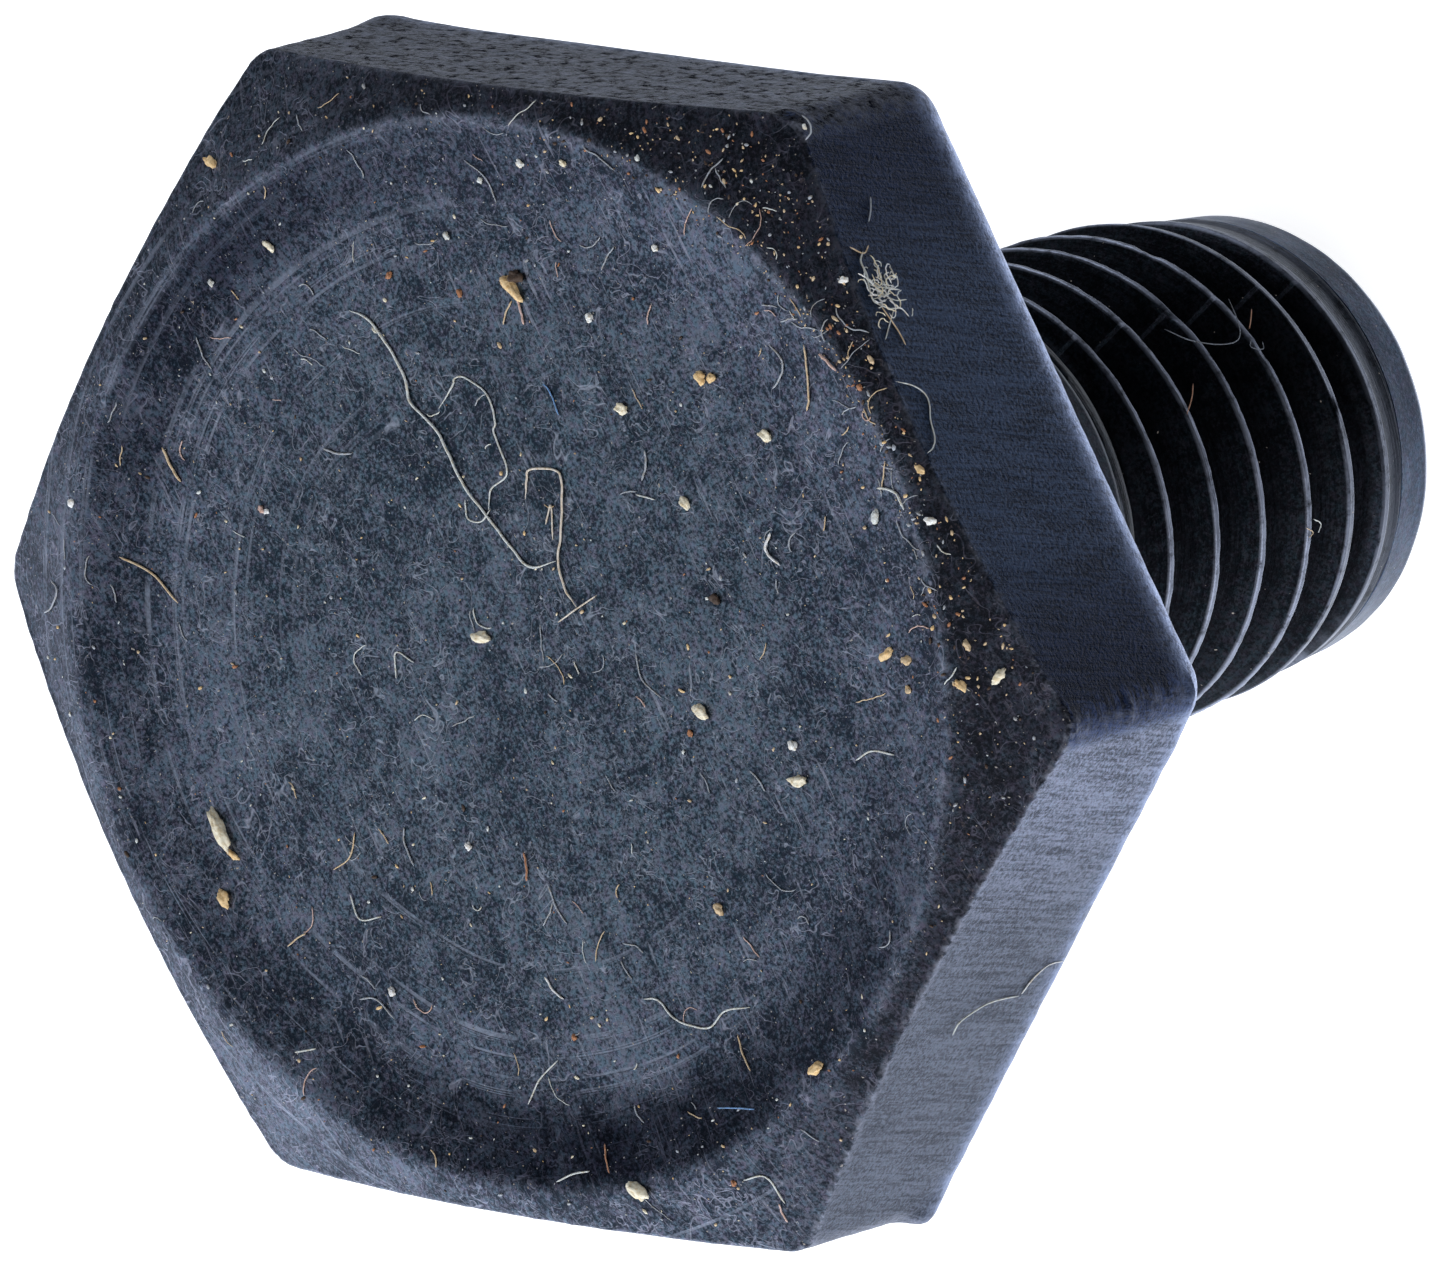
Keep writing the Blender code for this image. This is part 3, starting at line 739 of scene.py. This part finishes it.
def fibre_paths():
    """Every fibre as (half width, colour, path in millimetres)."""
    for row in FACE_FIBRES:
        half_width, colour, plan = mapped_fibre(row)
        radius = np.hypot(plan[:, 0], plan[:, 1])
        lift = half_width * (0.9 + 0.8 * np.abs(np.sin(np.arange(len(plan)) * 0.55 + half_width * 90)))
        yield half_width, colour, np.column_stack([plan, crown_height(radius) + lift])
    for side, *row in SIDE_FIBRES:
        half_width, colour, plan = mapped_fibre(row)
        a = math.radians(side)
        out = np.array([math.cos(a), math.sin(a), 0.0])
        along = np.array([-math.sin(a), math.cos(a), 0.0])
        lift = APOTHEM + half_width * 1.3 + (0.06 if side == 210 else 0.0)
        yield half_width, colour, plan[:, :1] * along + lift * out + plan[:, 1:] * np.array([0.0, 0.0, 1.0])
    for row in THREAD_FIBRES:
        half_width, colour, plan = mapped_fibre(row)
        a = np.radians(plan[:, 0])
        lift = CREST_RADIUS + 0.03
        yield half_width, colour, np.column_stack([lift * np.cos(a), lift * np.sin(a), plan[:, 1]])
    yield from tuft_paths()
    yield from fuzz_paths()


# A tuft of lint on the side at 270 degrees, beside the front edge: distance along the side, height
TUFT = (2.12, 19.72)


def tuft_paths():
    """Short curls that make up the tuft."""
    rng = random.Random(5)
    for index in range(46):
        spread = 0.17 if index < 34 else 0.40
        x, z = rng.gauss(TUFT[0], spread), min(rng.gauss(TUFT[1], spread), 20.0)
        out, way, turn = rng.uniform(0.01, 0.16), rng.uniform(0, 2 * math.pi), rng.gauss(0.0, 0.45)
        step = rng.uniform(0.035, 0.06)
        path = [(x, -APOTHEM - out, z)]
        for _ in range(rng.randint(4, 9)):
            way += turn + rng.uniform(-0.5, 0.5)
            x, z = x + step * math.cos(way), z + step * math.sin(way)
            out = max(0.01, out + rng.uniform(-0.02, 0.02))
            path.append((x, -APOTHEM - out, z))
        yield rng.uniform(0.007, 0.011), rng.choice((PALE, WHITE, WHITE, CREAM, CREAM)), eased(path, 3)


def fuzz_paths():
    """Short fine wisps scattered over the top, thicker near the tuft and on the far chamfer."""
    rng = random.Random(3)
    for index in range(170):
        if index < 110:
            a = rng.uniform(-math.pi, math.pi)
            r = 8.9 * math.sqrt(rng.random())
        else:
            a = math.radians(rng.gauss(-76.0, 20.0))
            r = rng.uniform(7.6, 9.1)
        if not inside_hexagon(r, a, 0.3):
            continue
        x, y, way = r * math.cos(a), r * math.sin(a), rng.uniform(0, 2 * math.pi)
        step, turn = rng.uniform(0.03, 0.08), rng.gauss(0.0, 0.16)
        plan = [(x, y)]
        for _ in range(rng.randint(4, 9)):
            way += turn + rng.uniform(-0.35, 0.35)
            x, y = x + step * math.cos(way), y + step * math.sin(way)
            plan.append((x, y))
        plan = eased(plan, 3)
        radius = np.hypot(plan[:, 0], plan[:, 1])
        half_width = rng.uniform(0.006, 0.011)
        colour = rng.choice((PALE, GREY, GREY, GREY, TAN, PINK))
        yield half_width, colour, np.column_stack([plan, crown_height(radius) + half_width * 1.5])


def build_fibres():
    points, faces, tints = [], [], []
    for half_width, colour, path in fibre_paths():
        new_points, new_faces = tube(path, half_width)
        faces += [tuple(i + len(points) for i in f) for f in new_faces]
        points += new_points
        tints += [colour] * len(new_points)
    return shown_mesh("lint_fibres", np.array(points), faces, {"tint": tints})


def blob(detail):
    """Points and faces of a ball."""
    bm = bmesh.new()
    bmesh.ops.create_icosphere(bm, subdivisions=detail, radius=1.0)
    points = np.array([v.co for v in bm.verts])
    faces = [tuple(v.index for v in f.verts) for f in bm.faces]
    bm.free()
    return points, faces


def build_grains():
    rng = random.Random(8)
    points, faces, tints = [], [], []
    fine, coarse = blob(3), blob(1)

    def add(shape, x, y, size, stretch, turn, colour):
        ball, ball_faces = shape
        start = sum(len(p) for p in points)
        scale = np.array([size * stretch, size / stretch ** 0.4, size * 0.75])
        lumpy = ball * (1.0 + 0.55 * wobble(ball, 1.3, 2, rng.random() * 50)[:, None])
        a = math.radians(turn)
        spin = np.array([[math.cos(a), -math.sin(a), 0.0], [math.sin(a), math.cos(a), 0.0], [0.0, 0.0, 1.0]])
        level = float(crown_height(math.hypot(x, y))) + size * 0.35
        points.append((lumpy * scale) @ spin.T + np.array([x, y, level]))
        faces.extend(tuple(i + start for i in f) for f in ball_faces)
        tints.extend([colour] * len(ball))

    for grain in GRAINS:
        add(fine, *grain)
    palette = [PALE, PALE, SAND, TAN, TAN, RUST, GREY, GREY, BROWN, CREAM]
    browns = [TAN, SAND, RUST, BROWN, GREY, TAN]
    for _ in range(700):
        a = rng.uniform(0, 2 * math.pi)
        r = 9.3 * math.sqrt(rng.random())
        x, y = r * math.cos(a), r * math.sin(a)
        if not inside_hexagon(r, a, 0.15):
            continue
        size = 0.011 + 0.024 * rng.random() ** 3
        add(coarse, x, y, size, 1 + rng.random(), rng.uniform(0, 180), rng.choice(palette))
    # Brown dust gathers along the chamfer on the far side
    for _ in range(800):
        a = math.radians(rng.gauss(-78.0, 26.0))
        r = FACE_RADIUS - 0.25 + 1.5 * rng.random()
        if not inside_hexagon(r, a, 0.08):
            continue
        x, y = r * math.cos(a), r * math.sin(a)
        size = 0.011 + 0.026 * rng.random() ** 3
        add(coarse, x, y, size, 1 + rng.random(), rng.uniform(0, 180), rng.choice(browns))
    return shown_mesh("dust_grains", np.vstack(points), faces, {"tint": tints})


# ---------------------------------------------------------------- materials


class Shades:
    """Short names for the nodes of one material, or of the world."""

    def __init__(self, owner):
        owner.use_nodes = True
        self.owner = owner
        self.tree = owner.node_tree
        self.shader = self.tree.nodes.get("Principled BSDF")

    def feed(self, socket, value):
        if isinstance(value, bpy.types.NodeSocket):
            self.tree.links.new(value, socket)
        elif isinstance(value, tuple) and len(socket.default_value) == 4:
            socket.default_value = (*value, 1.0)
        else:
            socket.default_value = value

    def set(self, name, value):
        self.feed(self.shader.inputs[name], value)

    def node(self, kind, **values):
        node = self.tree.nodes.new(kind)
        for key, value in values.items():
            setattr(node, key, value)
        return node

    def math(self, operation, a, b=0.0, clamp=False):
        node = self.node("ShaderNodeMath", operation=operation, use_clamp=clamp)
        self.feed(node.inputs[0], a)
        self.feed(node.inputs[1], b)
        return node.outputs[0]

    def combined(self, operation, first, others):
        for other in others:
            first = self.math(operation, first, other)
        return first

    def times(self, first, *others):
        return self.combined("MULTIPLY", first, others)

    def plus(self, first, *others):
        return self.combined("ADD", first, others)

    def most(self, first, *others):
        return self.combined("MAXIMUM", first, others)

    def rest(self, value):
        """One less the value, never under zero."""
        return self.math("SUBTRACT", 1.0, value, clamp=True)

    def mix(self, factor, a, b, blend="MIX"):
        node = self.node("ShaderNodeMix", data_type="RGBA", blend_type=blend)
        self.feed(node.inputs[0], factor)
        self.feed(node.inputs[6], a)
        self.feed(node.inputs[7], b)
        return node.outputs[2]

    def tinted(self, amount, colour, tint):
        """The colour multiplied by a tint, by that amount."""
        return self.mix(amount, colour, tint, "MULTIPLY")

    def joined(self, x, y, z):
        node = self.node("ShaderNodeCombineXYZ")
        for socket, value in zip(node.inputs, (x, y, z)):
            self.feed(socket, value)
        return node.outputs[0]

    def stretch(self, vector, scale, turn=0.0, shift=(0.0, 0.0, 0.0)):
        node = self.node("ShaderNodeMapping")
        self.feed(node.inputs["Vector"], vector)
        node.inputs["Scale"].default_value = scale
        node.inputs["Rotation"].default_value = (0.0, 0.0, math.radians(turn))
        node.inputs["Location"].default_value = shift
        return node.outputs[0]

    def noise(self, vector, scale, detail=2.0, roughness=0.5, distortion=0.0):
        node = self.node("ShaderNodeTexNoise")
        self.feed(node.inputs["Vector"], vector)
        node.inputs["Scale"].default_value = scale
        node.inputs["Detail"].default_value = detail
        node.inputs["Roughness"].default_value = roughness
        node.inputs["Distortion"].default_value = distortion
        return node.outputs["Fac"]

    def spread(self, value, low, high, start=0.0, end=1.0):
        """Runs softly from start to end while the value runs from low to high."""
        node = self.node("ShaderNodeMapRange", interpolation_type="SMOOTHSTEP")
        self.feed(node.inputs["Value"], value)
        for key, number in zip(("From Min", "From Max", "To Min", "To Max"), (low, high, start, end)):
            node.inputs[key].default_value = number
        return node.outputs[0]

    def attribute(self, name, output="Fac"):
        return self.node("ShaderNodeAttribute", attribute_name=name).outputs[output]

    def millimetres(self):
        place = self.node("ShaderNodeTexCoord").outputs["Object"]
        return self.stretch(place, (1 / MM, 1 / MM, 1 / MM))

    def squiggles(self, vector, scale, width, cover, low, high, shift):
        """Thin wandering lines, in patches: where a smooth noise crosses its middle."""
        moved = self.stretch(vector, (1.0, 1.0, 1.0), 0.0, (shift, -shift, 0.0))
        wander = self.noise(moved, scale, 2.0, 0.55, 0.6)
        lines = self.spread(self.math("ABSOLUTE", self.math("SUBTRACT", wander, 0.5)), width, 0.0)
        return self.times(lines, self.spread(self.noise(moved, cover, 3.0, 0.6), low, high))

    def hairlines(self, vector, turn, fine, cover, shift):
        """Straight hairline scratches that run one way, in small patches."""
        turned = self.stretch(vector, (0.9, fine, 1.0), turn, (shift, shift, 0.0))
        lines = self.spread(self.noise(turned, 1.0, 2.0, 0.5, 0.5), 0.66, 0.71)
        return self.times(lines, self.spread(self.noise(vector, cover, 2.0, 0.5), 0.50, 0.64))

    def bump(self, height, metres):
        node = self.node("ShaderNodeBump")
        node.inputs["Distance"].default_value = metres
        self.feed(node.inputs["Height"], height)
        self.set("Normal", node.outputs[0])


def oxide_base(s, mm, dark, light):
    """Mottled blackened steel: a colour, and its mottle and grit."""
    cloud = s.noise(mm, 0.45, 3.0, 0.55)
    mottle = s.noise(mm, 2.6, 5.0, 0.66, 0.5)
    grit = s.noise(mm, 16.0, 3.0, 0.75)
    tone = s.plus(s.times(mottle, 0.36), s.times(grit, 0.66), s.times(cloud, 0.22))
    colour = s.mix(s.spread(tone, 0.54, 0.73), dark, light)
    colour = s.tinted(s.spread(s.noise(mm, 9.0, 2.0, 0.6), 0.42, 0.62), colour, (0.80, 1.02, 1.04))
    moved = s.stretch(mm, (1.0, 1.0, 1.0), 0.0, (31.0, 17.0, 5.0))
    colour = s.tinted(s.spread(s.noise(moved, 7.0, 2.0, 0.6), 0.46, 0.64), colour, (1.14, 0.98, 1.06))
    return colour, mottle, grit


def head_sides(s, colour, grit, flat, x, y, z):
    """The colour with the sides' own, painted shade on one side and painted light on another, their streaks,
    and the crust of one side with the pits in it.
    """
    grain = s.attribute("grain", "Vector")
    side_330, side_270, side_210 = (
        s.times(flat, s.spread(s.plus(s.times(x, across), s.times(y, along)), 8.3, 8.6))
        for across, along in ((0.866, -0.5), (0.0, -1.0), (-0.866, -0.5))
    )
    # Fine streaks that the trimming die left
    streaks = s.noise(s.stretch(grain, (17.0, 0.8, 1.0)), 1.0, 3.0, 0.70)
    broad = s.noise(s.stretch(grain, (2.6, 0.5, 1.0)), 1.0, 3.0, 0.6)
    tone = s.plus(s.times(broad, 0.17), s.times(grit, 0.65), s.times(streaks, 0.48))
    bare = s.mix(s.spread(tone, 0.53, 0.77), (0.010, 0.012, 0.018), (0.125, 0.138, 0.175))
    colour = s.mix(flat, colour, s.mix(0.25, bare, colour))

    # Painted shade: the side at 270 degrees bluer and darker, darkest at its ends; painted light: the side at
    # 210 degrees paler towards one end
    colour = s.tinted(side_270, colour, (0.44, 0.61, 0.86))
    ends = s.spread(s.math("ABSOLUTE", x), 1.5, 4.2)
    colour = s.tinted(s.times(side_270, ends), colour, (0.26, 0.31, 0.44))
    colour = s.tinted(s.times(side_210, s.spread(y, -4.0, -8.0)), colour, (2.05, 2.00, 2.05))

    # Dark strokes at the combed corner
    strokes = s.noise(s.joined(s.times(x, 0.8), 0.0, s.times(z, 8.0)), 1.0, 2.0, 0.6)
    strokes = s.times(s.attribute("strokes"), s.spread(strokes, 0.44, 0.56))
    colour = s.tinted(strokes, colour, (0.10, 0.10, 0.12))

    # Crust on the side at 330 degrees, with pits full of dull dirt
    crust = s.spread(s.noise(s.stretch(grain, (4.6, 4.0, 1.0)), 1.0, 5.0, 0.80), 0.41, 0.57)
    pits = s.times(side_330, s.rest(crust))
    return s.tinted(pits, colour, (0.12, 0.12, 0.15)), streaks, s.times(crust, side_330), pits


def scuff_mask(s, mm):
    """Pale scuffs: wandering lines and a few straight hairlines."""
    return s.most(
        s.squiggles(mm, 1.5, 0.012, 0.9, 0.46, 0.58, 3.0),
        s.squiggles(mm, 2.8, 0.018, 1.2, 0.48, 0.60, 11.0),
        s.times(s.squiggles(mm, 5.5, 0.028, 1.6, 0.52, 0.68, 27.0), 0.6),
        s.times(s.hairlines(mm, 12, 15, 0.8, 3), 0.7),
        s.times(s.hairlines(mm, 68, 16, 0.6, 9), 0.7),
        s.times(s.hairlines(mm, 117, 14, 0.7, 21), 0.7),
        s.times(s.hairlines(mm, 160, 18, 0.9, 14), 0.7),
    )


def ring_mask(s, mm, x, y, ring):
    """Turning marks, which are rings round the axis, on one side of the face."""
    wavy = s.times(s.plus(ring, s.times(s.noise(mm, 0.20, 1.0), 0.5)), 8.5)
    rings = s.spread(s.noise(s.joined(wavy, s.times(x, 0.10), 0.0), 1.0, 2.0, 0.6), 0.56, 0.66)
    broken = s.spread(s.noise(mm, 1.1, 3.0, 0.6), 0.36, 0.60)
    return s.times(rings, s.spread(y, -5.0, 3.0), s.spread(ring, 3.0, 5.5), broken)


def head_material():
    s = Shades(bpy.data.materials.new("head_black_oxide"))
    mm = s.millimetres()
    split = s.node("ShaderNodeSeparateXYZ")
    s.feed(split.inputs[0], mm)
    x, y, z = split.outputs
    flat, wear = s.attribute("flat"), s.attribute("wear")
    upright = s.rest(flat)
    colour, mottle, grit = oxide_base(s, mm, (0.013, 0.018, 0.025), (0.106, 0.123, 0.150))
    colour, streaks, crust, pits = head_sides(s, colour, grit, flat, x, y, z)

    scuffs = s.times(scuff_mask(s, mm), upright)
    rubbed = s.times(s.spread(s.noise(mm, 4.5, 4.0, 0.75, 0.8), 0.56, 0.70), upright)
    colour = s.mix(s.times(rubbed, 0.35), colour, (0.16, 0.17, 0.21))
    colour = s.mix(s.times(scuffs, 0.52), colour, (0.30, 0.32, 0.37))

    # A little less green towards the rim, turning marks, and painted shade inside the rim
    ring = s.math("SQRT", s.plus(s.times(x, x), s.times(y, y)))
    colour = s.tinted(s.times(upright, s.spread(ring, 4.0, 8.0)), colour, (1.02, 0.965, 1.01))
    rings = s.times(ring_mask(s, mm, x, y, ring), upright)
    colour = s.mix(s.times(rings, 0.55), colour, (0.22, 0.24, 0.29))
    rim_shade = s.times(s.attribute("rim_shade"), s.spread(s.noise(mm, 2.2, 4.0, 0.7), 0.30, 0.55, 0.70, 1.0))
    colour = s.tinted(rim_shade, colour, (0.20, 0.20, 0.24))

    # Black grime and painted shade on the far side's chamfer, darker towards that side, and brown dust on it
    # and on the worn edges
    film = s.spread(s.noise(mm, 3.0, 5.0, 0.75), 0.34, 0.58, 0.55, 1.0)
    grime_and_shade = s.times(s.attribute("chamfer"), s.spread(y, 1.0, -4.0), film)
    colour = s.tinted(grime_and_shade, colour, (0.30, 0.28, 0.32))
    brown = s.spread(s.noise(mm, 8.0, 5.0, 0.8), 0.57, 0.68)
    brown = s.times(brown, s.plus(s.times(grime_and_shade, 0.6), s.times(wear, 0.45)), upright)
    colour = s.mix(s.times(brown, 0.75), colour, (0.105, 0.070, 0.050))

    # Worn edges, and the round under the head: burnished metal with a painted highlight
    worn = s.times(wear, s.spread(s.noise(mm, 5.0, 4.0, 0.7), 0.40, 0.66))
    colour = s.mix(s.times(worn, 0.65), colour, (0.24, 0.25, 0.30))
    rubbing = s.spread(s.noise(mm, 4.0, 5.0, 0.75), 0.36, 0.60, 0.25, 1.0)
    colour = s.mix(s.times(s.attribute("burnish_and_highlight"), rubbing, 0.75), colour, (0.28, 0.34, 0.50))

    # Settled dust, too fine to model
    specks = s.times(s.spread(s.noise(mm, 17.0, 1.0, 0.5), 0.735, 0.775), upright)
    speck_colour = s.mix(s.noise(mm, 3.0, 0.0), (0.50, 0.38, 0.24), (0.52, 0.54, 0.58))
    s.set("Base Color", s.mix(s.times(specks, 0.8), colour, speck_colour))
    rough = s.plus(s.times(mottle, 0.16), 0.33, s.times(grime_and_shade, 0.15))
    s.set("Roughness", s.math("ADD", rough, s.times(specks, 0.3), clamp=True))
    dusty = s.most(specks, s.times(grime_and_shade, 0.25), brown, pits)
    s.set("Metallic", s.rest(s.times(dusty, 0.95)))
    s.set("Specular Tint", (0.93, 0.94, 1.0))
    s.set("Specular IOR Level", s.math("SUBTRACT", 0.5, s.times(pits, 0.5), clamp=True))
    height = s.plus(
        s.times(grit, 0.7), s.times(mottle, 0.9), s.times(s.plus(streaks, grit), flat, 1.5),
        s.times(crust, 5.0), specks, s.times(scuffs, -0.3), s.times(rings, -0.4),
    )
    s.bump(height, 0.013 * MM)
    return s.owner


def shank_material(name, dark, light, thread=False):
    s = Shades(bpy.data.materials.new(name))
    mm = s.millimetres()
    colour, mottle, grit = oxide_base(s, mm, dark, light)
    if thread:
        # Rolling marks along the helix, and painted shade that darkens the grooves towards their roots
        marks = s.noise(s.stretch(s.attribute("grain", "Vector"), (16.0, 1.6, 1.0)), 1.0, 3.0, 0.6)
        groove_shade = s.spread(s.attribute("depth"), 0.05, 0.8, 0.0, 0.6)
        colour = s.mix(groove_shade, colour, (0.006, 0.006, 0.008))
    else:
        marks = s.noise(s.stretch(mm, (1.0, 1.0, 2.5)), 1.0, 3.0, 0.6)
    colour = s.tinted(s.spread(marks, 0.66, 0.38), colour, (0.74, 0.74, 0.76))
    worn = s.times(s.attribute("wear"), s.spread(s.noise(mm, 3.2, 4.0, 0.7), 0.26, 0.54), 0.85)
    colour = s.mix(worn, colour, (0.27, 0.29, 0.36))
    specks = s.spread(s.noise(mm, 11.0, 1.0, 0.5), 0.79, 0.82)
    s.set("Base Color", s.mix(specks, colour, (0.40, 0.35, 0.30)))
    s.set("Roughness", s.plus(s.times(mottle, 0.16), 0.33))
    s.set("Metallic", s.rest(s.times(specks, 0.9)))
    height = s.plus(s.times(grit, 0.5), s.times(mottle, 0.7), s.times(marks, 0.9 if thread else 0.2))
    s.bump(height, 0.012 * MM)
    return s.owner


def dust_material(name, sheen):
    """Lint and grains: the tint that each one carries, unevenly soiled."""
    s = Shades(bpy.data.materials.new(name))
    tint = s.attribute("tint", "Color")
    soil = s.noise(s.millimetres(), 14.0, 3.0, 0.65)
    s.set("Base Color", s.tinted(s.spread(soil, 0.42, 0.68), tint, (0.82, 0.72, 0.58)))
    s.set("Roughness", s.spread(soil, 0.3, 0.7, 0.6, 0.9))
    s.set("Sheen Weight", sheen)
    s.bump(soil, 0.02 * MM)
    return s.owner


# ---------------------------------------------------------------- the bolt


head = build_head()
neck = build_neck()
thread = build_thread()
point = build_point()
fibres = build_fibres()
grains = build_grains()

for piece, material in (
    (head, head_material()),
    (neck, shank_material("neck_black_oxide", (0.026, 0.029, 0.038), (0.056, 0.062, 0.078))),
    # Darker colours than the neck's: painted shade on the thread, which is the same black oxide
    (thread, shank_material("shaded_thread_black_oxide", (0.007, 0.008, 0.010), (0.024, 0.027, 0.034), thread=True)),
    # Paler, bluer colours than the neck's: painted light on the point, which is the same black oxide
    (point, shank_material("lit_point_black_oxide", (0.040, 0.050, 0.078), (0.086, 0.108, 0.160))),
    (fibres, dust_material("lint", 0.3)),
    (grains, dust_material("dust", 0.0)),
):
    piece.data.materials.append(material)

for piece, node in (
    (head, "hex_head"), (neck, "plain_neck"), (thread, "threaded_shank"), (point, "chamfered_point"),
):
    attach(piece, "root")
    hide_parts(node)
for piece in (fibres, grains):
    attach(piece, "root")


# ---------------------------------------------------------------- floor, light and camera

scene = bpy.context.scene
scene.view_settings.view_transform = "Standard"


def build_floor():
    """A plain pale floor that carries no reflection into the steel, just under the bolt."""
    bm = bmesh.new()
    bmesh.ops.create_circle(bm, cap_ends=True, segments=96, radius=2.5)
    mesh = bpy.data.meshes.new("floor")
    bm.to_mesh(mesh)
    bm.free()
    floor = bpy.data.objects.new("floor", mesh)
    scene.collection.objects.link(floor)
    floor.location.z = -0.00005
    s = Shades(bpy.data.materials.new("pale_floor"))
    s.set("Base Color", s.mix(s.noise(s.millimetres(), 0.02), (0.86, 0.86, 0.86), (0.90, 0.90, 0.90)))
    s.set("Emission Color", (1.0, 1.0, 1.0))
    s.set("Emission Strength", 0.85)
    s.set("Roughness", 0.9)
    mesh.materials.append(s.owner)
    floor.visible_glossy = False
    floor.visible_diffuse = False
    floor.visible_shadow = False


# Broad soft glows of the studio light: the direction towards each, and its strength
COOL = (0.93, 1.0, 1.12)
NEUTRAL = (1.0, 1.0, 1.0)
BROAD = 12.0
GLOWS = [
    (direction, BROAD, strength, COOL) for direction, strength in (
        ((-0.68, 0.73, -0.11), 4.30), ((-0.93, -0.30, 0.20), 3.11), ((0.99, -0.08, -0.08), 2.58),
        ((-0.17, 0.95, -0.27), 2.49), ((-0.12, 0.37, -0.92), 1.85), ((-0.16, 0.58, 0.80), 1.46),
        ((-0.79, 0.10, -0.61), 0.97), ((0.34, 0.84, -0.42), 0.95), ((-0.04, 0.92, 0.39), 0.84),
        ((-0.50, -0.11, -0.86), 0.62), ((0.23, 0.73, 0.64), 0.60), ((-0.13, -0.28, -0.95), 0.46),
        ((0.66, 0.73, -0.17), 0.38), ((0.89, -0.41, 0.17), 0.34), ((0.16, 0.07, -0.98), 0.14),
    )
]

# Smaller glows for the face, the burnished round under the head and one side, and one that lifts the dust:
# direction, how tight it is, strength and colour
GLOWS += [
    ((0.11, 0.61, -0.78), 25.0, 0.5, COOL),
    ((0.10, 0.14, -0.98), 22.0, 2.0, COOL),
    ((0.11, -0.61, -0.79), 8.0, 0.15, COOL),
    ((-0.75, -0.13, 0.65), 6.0, 1.35, NEUTRAL),
]


def build_sky():
    """The glows light the bolt, and the camera sees plain white behind it."""
    scene.world = bpy.data.worlds.new("studio")
    s = Shades(scene.world)
    s.tree.nodes.clear()
    way = s.node("ShaderNodeTexCoord").outputs["Generated"]
    total = None
    for direction, tightness, strength, colour in GLOWS:
        dot = s.node("ShaderNodeVectorMath", operation="DOT_PRODUCT")
        s.feed(dot.inputs[0], way)
        dot.inputs[1].default_value = Vector(direction).normalized()
        power = s.math("EXPONENT", s.times(s.math("SUBTRACT", dot.outputs["Value"], 1.0), tightness))
        glow = s.node("ShaderNodeVectorMath", operation="SCALE")
        glow.inputs[0].default_value = [strength * c for c in colour]
        s.feed(glow.inputs["Scale"], power)
        if total is None:
            total = glow.outputs[0]
            continue
        added = s.node("ShaderNodeVectorMath", operation="ADD")
        s.feed(added.inputs[0], total)
        s.feed(added.inputs[1], glow.outputs[0])
        total = added.outputs[0]
    light, white = s.node("ShaderNodeBackground"), s.node("ShaderNodeBackground")
    s.feed(light.inputs["Color"], total)
    s.feed(white.inputs["Color"], (1.0, 1.0, 1.0))
    choose = s.node("ShaderNodeMixShader")
    s.feed(choose.inputs[0], s.node("ShaderNodeLightPath").outputs["Is Camera Ray"])
    s.tree.links.new(light.outputs[0], choose.inputs[1])
    s.tree.links.new(white.outputs[0], choose.inputs[2])
    s.tree.links.new(choose.outputs[0], s.node("ShaderNodeOutputWorld").inputs[0])


# The camera's place in metres, the way it looks, the way its picture's right edge points, and its lens
CAMERA_PLACE = (-0.0297906, -0.1673468, 0.2302743)
CAMERA_FORWARD = Vector((0.10643, 0.61092, -0.78451)).normalized()
CAMERA_RIGHT = Vector((-0.4110, -0.6914, -0.5942))
CAMERA_LENS = 444.7
CAMERA_SENSOR = 36.0


def build_camera():
    """A long lens that looks down on the head's face from one side."""
    data = bpy.data.cameras.new("camera")
    data.lens = CAMERA_LENS
    data.sensor_width = CAMERA_SENSOR
    data.sensor_fit = "HORIZONTAL"
    camera = bpy.data.objects.new("camera", data)
    scene.collection.objects.link(camera)
    right = (CAMERA_RIGHT - CAMERA_FORWARD * CAMERA_RIGHT.dot(CAMERA_FORWARD)).normalized()
    rotation = Matrix((right, right.cross(CAMERA_FORWARD), -CAMERA_FORWARD)).transposed()
    camera.matrix_world = Matrix.Translation(CAMERA_PLACE) @ rotation.to_4x4()
    scene.camera = camera


build_floor()
build_sky()
build_camera()
